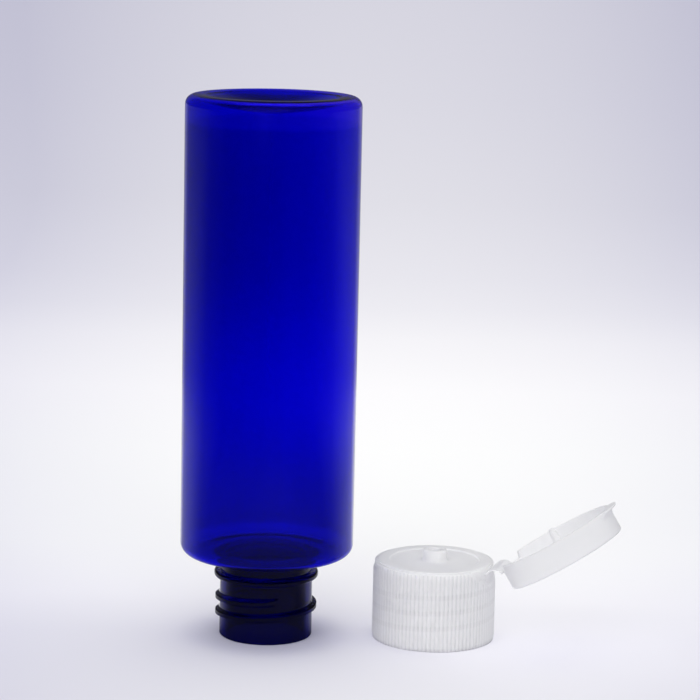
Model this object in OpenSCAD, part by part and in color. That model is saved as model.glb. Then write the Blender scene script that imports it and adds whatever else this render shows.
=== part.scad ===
// Flip-top bottle: a stretch-blown cylinder bottle that stands on its mouth, and beside it the
// one-piece screw cap whose lid swings on a living hinge.
// Millimetres. The origin is the centre of the bottle's mouth, and +Z runs up to the bottle's base.

/* [Bottle] */
// Outer diameter of the cylindrical wall
bottle_d = 46.7; // [40:0.1:60]
// Height from the mouth to the base
bottle_h = 146; // [100:1:200]
// Wall thickness of the blown body
bottle_wall = 0.75; // [0.5:0.05:1.2]
// Height of the shoulder above the mouth
shoulder_z = 22.6; // [21.5:0.1:30]
// Corner radius of the shoulder
shoulder_r = 3; // [1.5:0.1:6]
// Corner radius of the base
base_r = 2.7; // [1.5:0.1:6]
// Depth of the pushed-up base
push_up = 4; // [2:0.1:6]

/* [Neck finish] */
// Thread-root diameter of the neck (28/410 finish, E)
neck_e = 25; // [24.7:0.05:25.25]
// Thread-crest diameter of the neck (28/410 finish, T)
neck_t = 27.5; // [27.1:0.05:27.6]
// Bore of the neck
neck_bore = 21.8; // [20:0.1:22]
// Axial pitch of the thread, six turns to the inch
pitch = 4.233; // [4:0.001:4.5]
// Height of the thread's centre line at the front of the neck
thread_z = 7.4; // [7:0.1:8]
// Diameter of the transfer bead
bead_d = 28.2; // [27.8:0.1:28.6]
// Height at which the transfer bead starts
bead_z = 16; // [15:0.1:17]
// Thickness of the transfer bead
bead_t = 2.3; // [1.5:0.1:3]

/* [Cap] */
// Distance from the bottle's axis to the cap's axis
cap_x = 45.5; // [45:0.5:70]
// How far the cap stands behind the bottle's axis
cap_y = 0.7; // [-5:0.1:5]
// Turn of the cap about its own axis, in degrees
cap_turn = -16; // [-30:1:30]
// Diameter over the grip ribs
skirt_d = 33.1; // [32.5:0.1:34]
// Depth of the grip ribs
rib_depth = 0.36; // [0.2:0.01:0.5]
// Number of grip ribs
ribs = 90; // [60:6:120]
// Height of the ledge that the lid's rim meets
ledge_z = 21.15; // [20.8:0.05:21.5]
// Diameter of the low seat that centres the lid's rim
seat_d = 30.4; // [30:0.1:30.8]
// Height of the seat above the ledge
seat_h = 0.3; // [0.2:0.05:0.5]
// Inside diameter of the skirt
skirt_bore = 28.7; // [28.4:0.1:29]
// Diameter of the pouring hole
orifice_d = 3.3; // [3.1:0.1:4]
// Height of the spout above the deck
spout_h = 3.1; // [2:0.1:3.4]

/* [Lid and hinge] */
// Opening angle at rest, from closed, in degrees
open_angle = 148; // [0:1:178]
// Height of the lid
lid_h = 7.2; // [6.8:0.1:9]
// Wall thickness of the lid
lid_wall = 0.85; // [0.8:0.05:0.9]
// Distance of the hinge line from the cap's axis
hinge_x = 17.75; // [17.6:0.05:18]
// Height of the hinge line above the skirt's rim
hinge_z = 21.4; // [21.2:0.05:21.6]
// Width of the hinge strap
hinge_w = 11.3; // [8:0.1:13]

/* [Hidden] */
$fn = 96;
arc_n = 6;
eps = 0.01;

blue = [0.03, 0.05, 0.72];
milk = [0.9, 0.9, 0.91];

// Bottle radii and inner heights
body_r = bottle_d / 2;
inner_r = body_r - bottle_wall;
neck_r = neck_e / 2;
bore_r = neck_bore / 2;
bead_r = bead_d / 2;
lip_r = 0.5;
root_r = 2.2;
shoulder_t = 1.0;
base_t = 1.2;
ring_w = 2.4;
pip_r = 1.4;
pip_h = 0.4;
ring_r = body_r - base_r - ring_w;
dome_r = (ring_r * ring_r + push_up * push_up) / (2 * push_up);
dome_z = bottle_h - push_up + dome_r;

// Thread teeth: width at the root and at the crest, angle between sections, run-out angle
neck_tooth_w = 2.3;
neck_tooth_tip = 1.0;
cap_tooth_w = 1.9;
cap_tooth_tip = 0.8;
thread_step = 5;
run_out = 25;
neck_thread_from = -160;
neck_thread_to = 380;
cap_thread_from = -380;
cap_thread_to = 380;
cap_thread_z = 10.4;
cap_thread_r = 12.95;

// Cap radii and heights
crest_r = skirt_d / 2;
rib_root_r = crest_r - rib_depth;
rib_edge = 0.4;
bore_in = skirt_bore / 2;
lead_r = bore_in + 0.25;
lead_h = 2.2;
seat_r = seat_d / 2;
seat_z = ledge_z + seat_h;
seat_edge = 0.15;
dish_r = 11.8;
deck_z = seat_z - 0.3;
deck_t = 1.5;
under_z = deck_z - deck_t;
land_z = under_z - 1.7;
land_in = 11.3;
land_out = 12.4;
orifice_r = orifice_d / 2;
spout_r = 3.35;
spout_top_r = 3.25;
spout_root_r = 0.6;
plug_out = 10.7;
plug_in = 9.6;
plug_z = 15.6;

// Scoop in the skirt for a fingertip, opposite the hinge
scoop_r = rib_root_r - 0.05;
scoop_z = 19.5;
scoop_arc = 50;

// Hinge window in the skirt and in the lid's rim
window_r = crest_r - 0.7;
window_z = 16.3;
window_arc = 14;
rim_cut_h = 1.8;
rim_cut_angle = 30;
leaf_z = 20.1;
leaf_t = 0.55;
film_r = 0.16;
film_t = 0.24;
film_gap = 0.34;

// Lid radii and heights, lid closed
lid_r = crest_r - 0.05;
lid_z = ledge_z + 0.05;
lid_top = lid_z + lid_h;
lid_in = lid_r - lid_wall;
lid_roof = 1.1;
lid_edge = 0.7;
tab_reach = 1.9;
tab_h = 2.4;
tab_w = 12;
pin_r = 1.4;
pin_tip_r = 0.85;
pin_z = 19.2;
boss_r = 2.8;
boss_z = 24.9;

// Points of an arc round (cx, cz), from angle a0 to a1
function arc(cx, cz, r, a0, a1, n = arc_n) =
    [for (i = [0:n]) let (a = a0 + (a1 - a0) * i / n) [cx + r * cos(a), cz + r * sin(a)]];

// Points along the pushed-up dome, its surface drop mm below the outer one, between two radii
function dome(drop, r0, r1, n = 8) =
    [for (i = [0:n]) let (r = r0 + (r1 - r0) * i / n)
        [r, dome_z - drop - sqrt(dome_r * dome_r - r * r)]];

// Height factor of a thread tooth: full, and falling to a tenth over the run-out at each end
function fade(a, from, to) = min(1, 0.1 + 0.9 * min(a - from, to - a) / run_out);

// One cross-section of a thread tooth at angle a, from the root radius to the crest radius
function tooth(a, z0, from, to, r_root, r_crest, w, tip) =
    let (
        s = fade(a, from, to),
        z = z0 + pitch * a / 360,
        r = r_root + (r_crest - r_root) * s,
        half = s * w / 2,
        cap = s * tip / 2,
        d = [sin(a), -cos(a)]
    )
    [[r_root * d.x, r_root * d.y, z - half], [r * d.x, r * d.y, z - cap],
     [r * d.x, r * d.y, z + cap], [r_root * d.x, r_root * d.y, z + half]];

// Helical tooth swept through its sections; flip turns the faces of a tooth that points inwards
module helix(z0, from, to, r_root, r_crest, w, tip, flip) {
    steps = (to - from) / thread_step;
    points = [for (i = [0:steps])
        each tooth(from + i * thread_step, z0, from, to, r_root, r_crest, w, tip)];
    last = steps * 4;
    sides = [for (i = [0:steps - 1], k = [0:3])
        let (a = i * 4 + k, b = i * 4 + (k + 1) % 4) [b, a, a + 4, b + 4]];
    ends = [[0, 1, 2, 3], [last + 3, last + 2, last + 1, last]];
    faces = concat(sides, ends);
    polyhedron(points, flip ? [for (f = faces) [f[3], f[2], f[1], f[0]]] : faces);
}

// Outline of the grip: trapezoid ribs round a cylinder
function grip_outline() =
    [for (i = [0:ribs - 1], k = [[-0.32, 0], [-0.14, 1], [0.14, 1], [0.32, 0]])
        let (a = (i + k[0]) * 360 / ribs, r = rib_root_r + k[1] * rib_depth)
        [r * cos(a), r * sin(a)]];

module at_cap() {
    translate([cap_x, cap_y, 0]) rotate([0, 0, cap_turn]) children();
}

// Turns what is drawn closed to the angle at which the lid rests open
module at_lid() {
    at_cap() translate([hinge_x, 0, hinge_z]) rotate([0, open_angle, 0])
        translate([-hinge_x, 0, -hinge_z]) children();
}

// Blown body, shoulder, neck, transfer bead and pushed-up base in one wall
module bottle_shell() {
    outer = concat(
        arc(neck_r - lip_r, lip_r, lip_r, -90, 0),
        [[neck_r, bead_z]],
        arc(bead_r - bead_t / 2, bead_z + bead_t / 2, bead_t / 2, -90, 90),
        [[neck_r, bead_z + bead_t]],
        arc(neck_r + root_r, shoulder_z - root_r, root_r, 180, 90),
        arc(body_r - shoulder_r, shoulder_z + shoulder_r, shoulder_r, -90, 0),
        arc(body_r - base_r, bottle_h - base_r, base_r, 0, 90),
        dome(0, ring_r, pip_r),
        [[pip_r, bottle_h - push_up + pip_h], [0, bottle_h - push_up + pip_h]]
    );
    inner = concat(
        dome(base_t, 0, ring_r - base_t / 2),
        arc(body_r - base_r, bottle_h - base_r, base_r - bottle_wall, 80, 0),
        arc(inner_r - shoulder_r, shoulder_z + shoulder_t + shoulder_r, shoulder_r, 0, -90),
        arc(bore_r + root_r + shoulder_t, shoulder_z - root_r, root_r + shoulder_t, 90, 180),
        [[bore_r, 0]]
    );
    color(blue) rotate_extrude() polygon(concat(outer, inner));
}

// One and a half turns of right-hand thread on the neck
module neck_thread() {
    color(blue) helix(thread_z, neck_thread_from, neck_thread_to, neck_r / cos(thread_step / 2),
                      neck_t / 2, neck_tooth_w, neck_tooth_tip, false);
}

// Ribbed grip, its ribs broken at the top and at the rim
module grip() {
    intersection() {
        linear_extrude(ledge_z) polygon(grip_outline());
        rotate_extrude() polygon([[0, 0], [crest_r - rib_edge, 0], [crest_r, rib_edge],
                                  [crest_r, ledge_z - rib_edge], [crest_r - rib_edge, ledge_z],
                                  [0, ledge_z]]);
    }
}

// Skirt with its ribbed grip, the deck, the lid's seat, and the smooth areas at hinge and thumb
module cap_skirt() {
    color(milk) at_cap() difference() {
        union() {
            grip();
            rotate_extrude() polygon(concat(
                [[0, ledge_z - 1], [seat_r, ledge_z - 1]],
                arc(seat_r - seat_edge, seat_z - seat_edge, seat_edge, 0, 90),
                [[dish_r + 0.4, seat_z], [dish_r, deck_z], [0, deck_z]]));
        }
        rotate_extrude() polygon([
            [0, -1], [lead_r, -1], [lead_r, lead_h], [bore_in, lead_h + 0.4],
            [bore_in, under_z - 0.6], [bore_in - 0.6, under_z], [land_out, under_z],
            [land_out, land_z], [land_in, land_z], [land_in, under_z], [0, under_z]]);
        hinge_window();
        thumb_scoop();
        cylinder(r = orifice_r, h = seat_z + 1);
    }
}

// Smooth scoop in the grip below the hinge, with a round lower edge
module hinge_window() {
    intersection() {
        difference() {
            cylinder(r = crest_r + 1, h = ledge_z + eps);
            translate([0, 0, -1]) cylinder(r = window_r, h = ledge_z + 2);
        }
        translate([seat_r - 4, 0, window_z + window_arc]) rotate([0, 90, 0])
            cylinder(r = window_arc, h = 8);
    }
}

// Shallow scoop that takes the ribs off below the thumb lip
module thumb_scoop() {
    intersection() {
        difference() {
            cylinder(r = crest_r + 1, h = ledge_z + eps);
            translate([0, 0, -1]) cylinder(r = scoop_r, h = ledge_z + 2);
        }
        translate([-crest_r - 2, 0, scoop_z + scoop_arc]) rotate([0, 90, 0])
            cylinder(r = scoop_arc, h = 10, $fn = 360);
    }
}

// Two turns of thread on the skirt's inner wall
module cap_thread() {
    color(milk) at_cap() helix(cap_thread_z, cap_thread_from, cap_thread_to, bore_in,
                               cap_thread_r, cap_tooth_w, cap_tooth_tip, true);
}

// Spout on the deck, with a hollow root and a rounded lip
module pour_spout() {
    top = deck_z + spout_h;
    color(milk) at_cap() rotate_extrude() polygon(concat(
        [[orifice_r, deck_z]],
        arc(spout_r + spout_root_r, deck_z + spout_root_r, spout_root_r, 270, 180),
        arc(spout_top_r - 0.4, top - 0.4, 0.4, 0, 90),
        [[orifice_r + 0.2, top], [orifice_r, top - 0.2]]));
}

// Ring under the deck that seals in the neck's bore
module plug_seal() {
    color(milk) at_cap() rotate_extrude() polygon([
        [plug_in, under_z], [plug_in, plug_z + 0.8], [plug_in + 0.5, plug_z],
        [plug_out - 0.5, plug_z], [plug_out, plug_z + 1.2], [plug_out - 0.2, under_z]]);
}

// Half of the hinge strap that stays with the cap, with the thin rounded film on the hinge line
module hinge_cap_leaf() {
    color(milk) at_cap() difference() {
        translate([0, hinge_w / 2, 0]) rotate([90, 0, 0]) linear_extrude(hinge_w) union() {
            polygon([[seat_r - 2, leaf_z - leaf_t], [window_r + 0.5, leaf_z - leaf_t],
                     [hinge_x, hinge_z - film_t / 2], [hinge_x - 0.04, hinge_z + film_t / 2],
                     [window_r + 0.4, leaf_z], [seat_r - 2, leaf_z]]);
            translate([hinge_x, hinge_z]) circle(r = film_r);
        }
        cylinder(r = window_r, h = ledge_z + 2);
    }
}

// Domed-edge cup with a window in its rim for the hinge and a lip for the thumb
module lid_shell() {
    color(milk) at_lid() difference() {
        union() {
            rotate_extrude() polygon(concat(
                [[0, lid_z], [lid_r, lid_z]],
                arc(lid_r - lid_edge, lid_top - lid_edge, lid_edge, 0, 90),
                [[0, lid_top]]));
            thumb_tab();
        }
        rotate_extrude() polygon([
            [0, lid_z - 1], [lid_in, lid_z - 1], [lid_in, lid_top - lid_roof - 0.5],
            [lid_in - 0.5, lid_top - lid_roof], [0, lid_top - lid_roof]]);
        translate([0, 0, lid_z - 1]) linear_extrude(rim_cut_h + 1) polygon([
            [0, 0], [hinge_x + 4, -(hinge_x + 4) * tan(rim_cut_angle)],
            [hinge_x + 4, (hinge_x + 4) * tan(rim_cut_angle)]]);
    }
}

// Lip at the rim opposite the hinge, hollowed above for the thumb
module thumb_tab() {
    intersection() {
        rotate_extrude() polygon(concat(
            [[lid_r - 0.4, lid_z], [lid_r + tab_reach, lid_z]],
            [[lid_r + tab_reach, lid_z + 0.7]],
            arc(lid_r + tab_reach, lid_z + tab_h + 0.2, tab_reach - 0.4, -100, -170),
            [[lid_r - 0.4, lid_z + tab_h + 0.6]]));
        translate([-crest_r - 5, -tab_w / 2, lid_z - 1]) cube([10, tab_w, tab_h + 4]);
    }
}

// Long tapered pin under the lid's roof that plugs the pouring hole
module lid_stopper() {
    color(milk) at_lid() rotate_extrude() polygon([
        [0, pin_z], [pin_tip_r - 0.3, pin_z], [pin_tip_r, pin_z + 0.4], [pin_r, boss_z],
        [boss_r, boss_z], [boss_r, lid_top - lid_roof], [0, lid_top - lid_roof]]);
}

// Half of the hinge strap that moves with the lid
module hinge_lid_leaf() {
    root = lid_z + rim_cut_h;
    color(milk) at_lid() difference() {
        translate([0, hinge_w / 2, 0]) rotate([90, 0, 0]) linear_extrude(hinge_w)
            polygon([[seat_r - 2, root], [lid_r + 0.1, root],
                     [hinge_x - film_gap, hinge_z + film_gap * 0.4],
                     [hinge_x - film_gap + 0.14, hinge_z + film_gap * 0.4 + 0.19],
                     [lid_r + 0.45, root + leaf_t + 0.2], [seat_r - 2, root + leaf_t + 0.2]]);
        cylinder(r = lid_r, h = lid_top + 1);
    }
}

bottle_shell();
neck_thread();
cap_skirt();
cap_thread();
pour_spout();
plug_seal();
hinge_cap_leaf();
lid_shell();
lid_stopper();
hinge_lid_leaf();
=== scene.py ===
"""Flip-top bottle: a cobalt PET bottle on its mouth and its natural polypropylene cap, lid open.

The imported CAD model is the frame. Each moulding is rebuilt here as one smooth closed skin that
stands for its CAD nodes, because a clear or milky plastic shows every seam between two solids.
Lengths are millimetres in the shape functions and metres in the finished meshes.
"""

from __future__ import annotations

import logging
import math
from dataclasses import dataclass
from enum import Enum
from functools import partial
from typing import Any, Callable

import bpy
import numpy as np
from bpy.types import ID, Material, Node, NodeSocket, NodeTree, Object
from mathutils import Matrix, Vector


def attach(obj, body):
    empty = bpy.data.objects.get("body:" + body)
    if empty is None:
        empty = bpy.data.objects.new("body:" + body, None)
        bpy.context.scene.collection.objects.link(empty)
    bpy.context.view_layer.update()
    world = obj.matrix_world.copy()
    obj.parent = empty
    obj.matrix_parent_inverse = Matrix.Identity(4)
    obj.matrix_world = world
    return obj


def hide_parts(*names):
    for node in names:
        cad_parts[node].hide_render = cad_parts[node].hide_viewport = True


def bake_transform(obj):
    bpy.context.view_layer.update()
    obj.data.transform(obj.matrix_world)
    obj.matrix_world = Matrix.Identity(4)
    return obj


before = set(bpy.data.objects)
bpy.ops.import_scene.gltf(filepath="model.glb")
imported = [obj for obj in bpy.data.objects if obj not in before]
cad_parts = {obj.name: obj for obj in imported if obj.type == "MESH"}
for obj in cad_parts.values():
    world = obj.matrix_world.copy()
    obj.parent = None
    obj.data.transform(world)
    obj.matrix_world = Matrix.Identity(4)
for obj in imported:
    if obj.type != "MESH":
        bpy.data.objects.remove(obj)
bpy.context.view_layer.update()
LOG = logging.getLogger("flip_top_bottle")
MM = 0.001
TAU = 2.0 * math.pi
# How far a point's radius may be off a wall's and the point still lies on it, in mm.
ON_WALL = 0.02

Array = np.ndarray
Pair = tuple[float, float]
Pairs = tuple[Pair, ...]
Triple = tuple[float, float, float]


class Body(str, Enum):
    """Rigid bodies of the frame that a piece can ride on."""

    BOTTLE = "bottle"
    CAP = "cap"
    LID = "lid"


class Slot(str, Enum):
    """Material slots of the record."""

    COBALT = "cobalt_pet"
    NATURAL = "natural_pp"


class Ends(Enum):
    """How the rows of a grid surface end."""

    POLES = "poles"
    RING = "ring"


# ---------------------------------------------------------------- shapes


@dataclass(frozen=True)
class Corner:
    """A corner of a turned profile, in mm.

    Attributes:
        r: Distance from the axis.
        z: Height.
        fillet: Radius that rounds the corner.
        steps: Number of equal steps on the straight run that follows.
    """

    r: float
    z: float
    fillet: float = 0.0
    steps: int = 1


def rounded_profile(corners: list[Corner], closed: bool = False, arc_steps: int = 5) -> Array:
    """Turns corners into profile points, with an arc in place of each filleted corner.

    The arc touches both sides at fillet / tan(half the corner angle) from the corner, and its
    points are the slerp between the two radii at those touching points.

    Args:
        corners: The corners in order.
        closed: True if the last corner joins the first.
        arc_steps: Number of steps round each arc.

    Returns:
        Points as an (n, 2) array of radius and height.
    """
    points = [np.array([c.r, c.z], float) for c in corners]
    count = len(points)
    runs: list[tuple[Array, int]] = []
    for i, corner in enumerate(corners):
        here = points[i]
        inner = closed or 0 < i < count - 1
        if corner.fillet <= 0.0 or not inner:
            runs.append((here[None], corner.steps))
            continue
        back = points[i - 1] - here
        ahead = points[(i + 1) % count] - here
        back_dir, ahead_dir = back / np.linalg.norm(back), ahead / np.linalg.norm(ahead)
        half = 0.5 * math.acos(float(np.clip(back_dir @ ahead_dir, -1.0, 1.0)))
        reach = corner.fillet / math.tan(half)
        start, end = here + back_dir * reach, here + ahead_dir * reach
        bisector = (back_dir + ahead_dir) / np.linalg.norm(back_dir + ahead_dir)
        centre = here + bisector * corner.fillet / math.sin(half)
        sweep = math.pi - 2.0 * half
        t = np.linspace(0.0, 1.0, arc_steps + 1)[:, None]
        arc = centre + (np.sin((1 - t) * sweep) * (start - centre)
                        + np.sin(t * sweep) * (end - centre)) / math.sin(sweep)
        runs.append((arc, corner.steps))
    out: list[Array] = []
    for i, (run, steps) in enumerate(runs):
        out.append(run)
        if steps > 1 and (closed or i < count - 1):
            t = np.linspace(0.0, 1.0, steps + 1)[1:-1, None]
            out.append(run[-1] * (1 - t) + runs[(i + 1) % count][0][0] * t)
    return np.concatenate(out)


def angles(count: int) -> Array:
    """Returns count equal angles round a full turn, in radians."""
    return np.arange(count) * TAU / count


def cos_sin(degrees: float) -> Pair:
    """Returns the cosine and the sine of an angle in degrees."""
    return math.cos(math.radians(degrees)), math.sin(math.radians(degrees))


def smoothstep(low: float, high: float, value: Array) -> Array:
    """Returns 0 below low and 1 above high, with a smooth cubic between."""
    t = np.clip((value - low) / (high - low), 0.0, 1.0)
    return t * t * (3.0 - 2.0 * t)


def polar(r: Array | float, turn: Array, z: Array | float) -> Array:
    """Returns points (r cos turn, r sin turn, z); a row of turns with columns gives a grid."""
    return np.stack(np.broadcast_arrays(r * np.cos(turn), r * np.sin(turn), z), axis=-1)


@dataclass(frozen=True)
class Thread:
    """A right-hand helical tooth, in mm and degrees.

    Attributes:
        pitch: Rise per turn.
        z_front: Height of the tooth's centre line at angle 0.
        start: First angle of the tooth, counted from the front (-Y) towards +X.
        end: Last angle.
        root_w: Axial width at the root.
        tip_w: Axial width at the crest.
        height: Height of the crest over the root.
        run_out: Angle over which each end sinks into the wall.
    """

    pitch: float
    z_front: float
    start: float
    end: float
    root_w: float
    tip_w: float
    height: float
    run_out: float = 25.0

    def relief(self, turn: Array, z: Array) -> Array:
        """Height of the tooth over the wall.

        At each angle the tooth's centre line is z_front + pitch * angle / 360, once for each
        turn that passes there. The section is a trapezoid whose flanks are eased by smoothstep.

        Args:
            turn: Angles in radians, 0 along +X.
            z: Heights in mm.

        Returns:
            Relief in mm, of the arrays' common shape.
        """
        front = np.degrees(turn) + 90.0
        total = np.zeros(np.broadcast(turn, z).shape)
        first = math.floor((self.start - 360.0) / 360.0)
        last = math.ceil((self.end + 360.0) / 360.0)
        for lap in range(first, last + 1):
            angle = front + 360.0 * lap
            rise = smoothstep(0.0, self.run_out, np.minimum(angle - self.start, self.end - angle))
            off = np.abs(z - (self.z_front + self.pitch * angle / 360.0))
            half_root, half_tip = 0.5 * self.root_w, 0.5 * self.tip_w
            total = np.maximum(total, rise * (1.0 - smoothstep(half_tip, half_root, off)))
        return total * self.height


def add_object(name: str, data: ID) -> Object:
    """Adds an object to the scene, at the origin.

    Args:
        name: Name of the object.
        data: Its mesh, lamp or camera.

    Returns:
        The object.
    """
    added = bpy.data.objects.new(name, data)
    bpy.context.collection.objects.link(added)
    return added


def signed_volume(points: Array, triangles: Array) -> float:
    """Returns the volume inside a closed triangle mesh, negative if its faces point inwards."""
    a, b, c = (points[triangles[:, k]] for k in range(3))
    return float(np.einsum("ij,ij->i", a, np.cross(b, c)).sum() / 6.0)


def skin(name: str, grid: Array, ends: Ends) -> Object:
    """Makes a closed mesh from a grid whose columns wrap round.

    Args:
        name: Name of the new object.
        grid: (rows, columns, 3) points in mm. With POLES the first and last rows are single
            points, given once per column; with RING the last row joins the first.
        ends: How the rows end.

    Returns:
        The object, at the origin, with its faces outwards and shaded smooth.
    """
    rows, columns, _ = grid.shape
    index = np.arange(rows * columns).reshape(rows, columns)
    if ends is Ends.RING:
        points, loops = grid.reshape(-1, 3), index[[*range(rows), 0]]
    else:
        points = np.concatenate([grid[0, :1], grid[1:-1].reshape(-1, 3), grid[-1, :1]])
        loops = index[:-2] + 1
    after = np.roll(loops, -1, axis=1)
    quads = np.stack([loops[:-1], after[:-1], after[1:], loops[1:]], axis=-1).reshape(-1, 4)
    fans = np.empty((0, 3), int)
    if ends is Ends.POLES:
        tip = np.full(columns, len(points) - 1)
        fans = np.concatenate([np.stack([0 * tip, after[0], loops[0]], axis=-1),
                               np.stack([loops[-1], after[-1], tip], axis=-1)])
    triangles = np.concatenate([quads[:, :3], quads[:, [0, 2, 3]], fans])
    if signed_volume(points, triangles) < 0.0:
        quads, fans = quads[:, ::-1], fans[:, ::-1]
    faces = quads.tolist() + fans.tolist()
    mesh = bpy.data.meshes.new(name)
    mesh.from_pydata((points * MM).tolist(), [], faces)
    mesh.polygons.foreach_set("use_smooth", np.ones(len(mesh.polygons), bool))
    mesh.update()
    mesh.validate()
    return add_object(name, mesh)


# ---------------------------------------------------------------- finishes


Rgba = tuple[float, float, float, float]
Adder = Callable[..., Node]
Source = Node | NodeSocket | float

MATH = "ShaderNodeMath"
VECTOR = "ShaderNodeVectorMath"
NOISE = "ShaderNodeTexNoise"
# A smooth rise. Its inputs are a value, where the rise starts and ends, and what it gives
# before and after.
RISE = {"kind": "ShaderNodeMapRange", "interpolation_type": "SMOOTHSTEP"}
# Most of a noise lies between these values.
NOISE_SPAN = (0.3, 0.7)


def linear(hex_colour: str) -> Rgba:
    """Turns an sRGB colour into a linear one.

    Args:
        hex_colour: The colour, such as '#1f2a44'.

    Returns:
        Linear red, green and blue, and an alpha of 1.
    """
    parts = [int(hex_colour[i:i + 2], 16) / 255.0 for i in (1, 3, 5)]
    r, g, b = (p / 12.92 if p <= 0.04045 else ((p + 0.055) / 1.055) ** 2.4 for p in parts)
    return (r, g, b, 1.0)


def add_node(tree: NodeTree, kind: str,
             inputs: dict[str | int, Any] | tuple[Any, ...] = (), operation: str = "",
             stops: list[tuple[float, Rgba]] | None = None, **settings: Any) -> Node:
    """Adds a shader node with its settings, and fills its inputs.

    Args:
        tree: Node tree that takes the node.
        kind: Blender's name of the node type.
        inputs: What the sockets take, by name or number, or in order from the first: a value,
            an output to link, or a node whose first output is linked.
        operation: What a node of arithmetic works out.
        stops: Positions and colours of a ramp node.
        **settings: Properties set on the node itself.

    Returns:
        The new node.
    """
    node = tree.nodes.new(kind)
    if operation:
        node.operation = operation
    for key, value in settings.items():
        setattr(node, key, value)
    for key, value in (inputs if isinstance(inputs, dict) else dict(enumerate(inputs))).items():
        source = value.outputs[0] if isinstance(value, Node) else value
        if isinstance(source, NodeSocket):
            tree.links.new(source, node.inputs[key])
        else:
            node.inputs[key].default_value = source
    if stops:
        elements = node.color_ramp.elements
        for _ in stops[2:]:
            elements.new(0.5)
        for element, (position, colour) in zip(elements, stops):
            element.position, element.color = position, colour
    return node


def new_material(name: str) -> tuple[Material, Adder, NodeSocket]:
    """Makes an empty node material.

    Args:
        name: Name of the material.

    Returns:
        The material, what adds a node to it, and its Object coordinates.
    """
    material = bpy.data.materials.new(name)
    material.use_nodes = True
    material.node_tree.nodes.clear()
    add = partial(add_node, material.node_tree)
    return material, add, add("ShaderNodeTexCoord").outputs["Object"]


def in_mm(add: Adder, place: Source, origin: Triple = (0.0, 0.0, 0.0)) -> tuple[Source, ...]:
    """Turns a place into millimetres.

    Args:
        add: Adds a node to the material.
        place: Object coordinates.
        origin: Point to count from, in mm.

    Returns:
        X, Y, Z and the distance from the Z axis, which is the root of x * x + y * y.
    """
    scaled = add(VECTOR, (place, 3 * (1 / MM,), tuple(-v for v in origin)), "MULTIPLY_ADD")
    x, y, z = add("ShaderNodeSeparateXYZ", (scaled,)).outputs
    square = add(MATH, (y, y), "MULTIPLY")
    square = add(MATH, (x, x, square), "MULTIPLY_ADD")
    return x, y, z, add(MATH, (square,), "SQRT")


def blend_values(add: Adder, share: Source, first: Source, second: Source) -> Source:
    """Returns first where share is 0 and second where it is 1."""
    change = add(MATH, (second, first), "SUBTRACT")
    return add(MATH, (change, share, first), "MULTIPLY_ADD")


def curve(add: Adder, value: Source, points: Pairs) -> Source:
    """Reads a number from a curve that runs straight from point to point.

    A ramp node holds only 0 to 1, so both axes are scaled to that before it and back after.

    Args:
        add: Adds a node to the material.
        value: Where to read the curve.
        points: Pairs of value and number.

    Returns:
        The number.
    """
    start, end = points[0][0], points[-1][0]
    top = max(number for _, number in points)
    share = add(MATH, (value, start), "SUBTRACT")
    share = add(MATH, (share, end - start), "DIVIDE")
    ramp = add("ShaderNodeValToRGB", (share,), stops=[
        ((at - start) / (end - start), (*(3 * (number / top,)), 1.0)) for at, number in points])
    return add(MATH, (ramp, top), "MULTIPLY")


def mirror_ray(add: Adder) -> Source:
    """Tells a reflected ray; a refracted one counts as glossy too.

    Args:
        add: Adds a node to the material.

    Returns:
        1 for a reflected ray and 0 for others.
    """
    path = add("ShaderNodeLightPath").outputs
    return add(MATH, (path["Is Glossy Ray"], path["Is Transmission Ray"]),
               "SUBTRACT", use_clamp=True)


def lets_light_through(add: Adder, shader: Node, tint: Rgba) -> None:
    """Puts the shader on the surface, which passes lamp light, tinted, to what is behind.

    Args:
        add: Adds a node to the material.
        shader: What the eye sees.
        tint: Colour of the light that passes.
    """
    shadow = add("ShaderNodeLightPath").outputs["Is Shadow Ray"]
    clear = add("ShaderNodeBsdfTransparent", {"Color": tint})
    mix = add("ShaderNodeMixShader", (shadow, shader, clear))
    add("ShaderNodeOutputMaterial", {"Surface": mix})


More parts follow.
